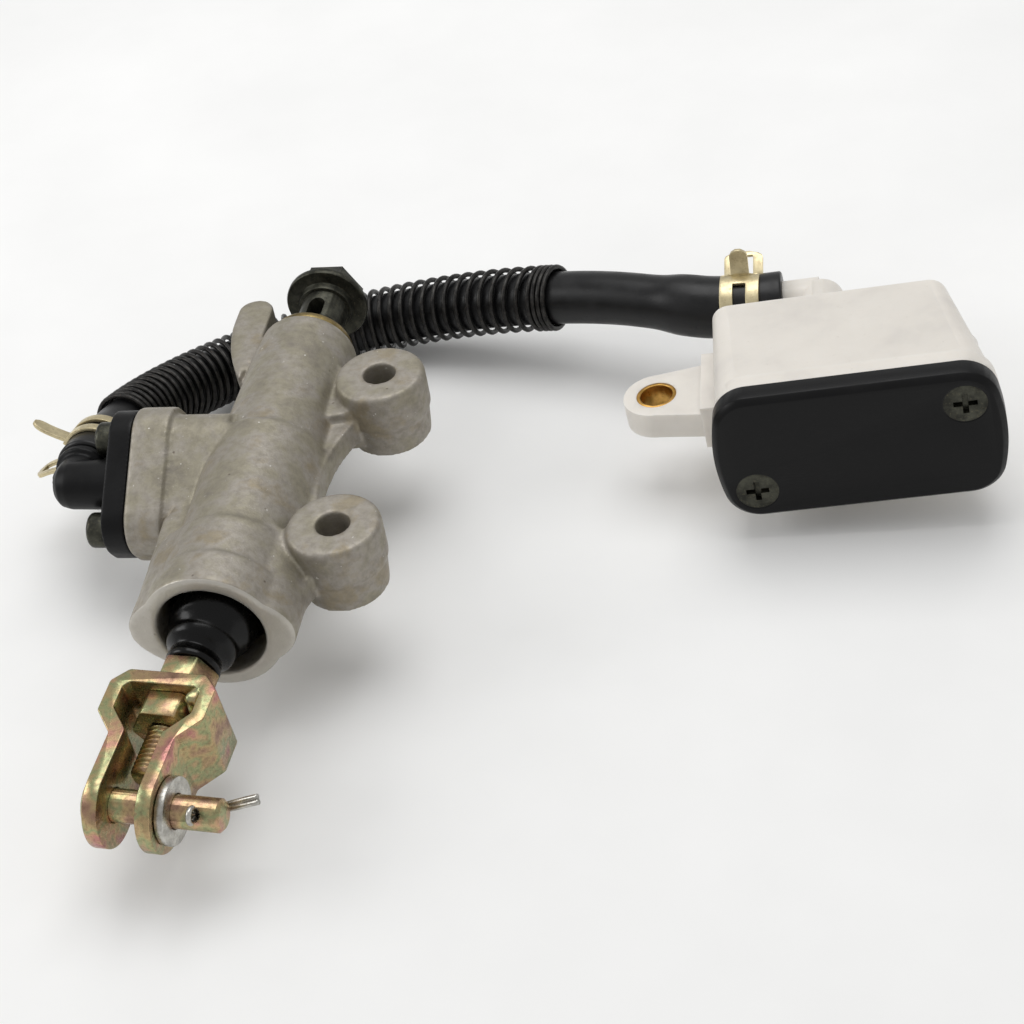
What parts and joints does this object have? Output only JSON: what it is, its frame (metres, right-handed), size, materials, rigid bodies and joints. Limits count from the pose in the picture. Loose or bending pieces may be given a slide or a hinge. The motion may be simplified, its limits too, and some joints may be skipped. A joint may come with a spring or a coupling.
{
  "type": "motorcycle brake master cylinder",
  "caption": "Foot-brake master cylinder: cast cylinder with side mounting bosses, clevis pushrod, banjo outlet and a hose to a remote screw-capped fluid reservoir.",
  "frame": {"origin": "midway between the two mounting holes, in the plane of their lower seat faces", "axes": "+Z along the mounting holes, +Y along the cylinder bore towards the outlet, +X from the bore to the mounting holes"},
  "size_m": [0.1938, 0.1663, 0.0361],
  "materials": {
    "cast_aluminium": "matte",
    "olive_steel": "satin",
    "copper": "satin",
    "black_plastic": "matte",
    "seal_rubber": "matte",
    "anodised_aluminium": "satin",
    "spring_steel": "satin",
    "bright_steel": "satin",
    "yellow_zinc": "satin",
    "boot_rubber": "gloss",
    "hose_rubber": "matte",
    "clamp_steel": "satin",
    "tank_plastic": "satin",
    "brass": "satin"
  },
  "bodies": {
    "housing": {"cylinder_body": "cast_aluminium", "crush_washer": "copper", "inlet_connector": "black_plastic", "connector_screws": "olive_steel", "connector_o_ring": "seal_rubber", "stop_washer": "bright_steel", "circlip": "spring_steel", "dust_boot": "boot_rubber", "return_spring": "spring_steel", "reservoir_hose": "hose_rubber", "hose_guard_spring": "spring_steel", "hose_clamp_lower": "clamp_steel", "hose_clamp_upper": "clamp_steel", "reservoir_tank": "tank_plastic", "tank_bush": "brass"},
    "piston_group": {"piston": "anodised_aluminium", "primary_cup": "seal_rubber", "secondary_cup": "seal_rubber"},
    "rod_group": {"pushrod": "yellow_zinc", "lock_nut": "yellow_zinc"},
    "clevis_group": {"clevis": "yellow_zinc", "clevis_nut": "yellow_zinc"},
    "pin_group": {"clevis_pin": "yellow_zinc", "pin_washer": "bright_steel", "cotter_pin": "bright_steel"},
    "outlet_bolt": {"banjo_bolt": "olive_steel"},
    "cap_group": {"reservoir_cap": "black_plastic", "diaphragm": "seal_rubber", "diaphragm_plate": "black_plastic"},
    "screw_group": {"cap_screws": "olive_steel"}
  },
  "joints": [
    {"name": "piston_slide", "type": "slide", "parent": "housing", "child": "piston_group", "axis": [0, 1, 0], "range_m": [0, 0.01], "stiffness_N_per_m": 2500, "springref_m": -0.01, "deforming": ["return_spring", "dust_boot"]},
    {"name": "rod_tilt", "type": "hinge", "parent": "piston_group", "child": "rod_group", "pos_m": [-0.02, -0.0248, 0.0065], "axis": [-0.9945, 0.1045, 0], "range_deg": [0, 12]},
    {"name": "clevis_adjust", "type": "slide", "parent": "rod_group", "child": "clevis_group", "axis": [-0.104, -0.9891, -0.1045], "range_m": [0, 0.004]},
    {"name": "clevis_pin_turn", "type": "hinge", "parent": "clevis_group", "child": "pin_group", "pos_m": [-0.02572, -0.0792, 0.00075], "axis": [0.9945, -0.1045, 0], "continuous": true},
    {"name": "outlet_bolt_travel", "type": "slide", "parent": "housing", "child": "outlet_bolt", "axis": [0, 1, 0], "range_m": [-0.002, 0.007]},
    {"name": "cap_lift", "type": "slide", "parent": "housing", "child": "cap_group", "axis": [0.064, -0.9978, 0.016], "range_m": [0, 0.03]},
    {"name": "cap_screw_lift", "type": "slide", "parent": "cap_group", "child": "screw_group", "axis": [0.064, -0.9978, 0.016], "range_m": [0, 0.012]}
  ]
}
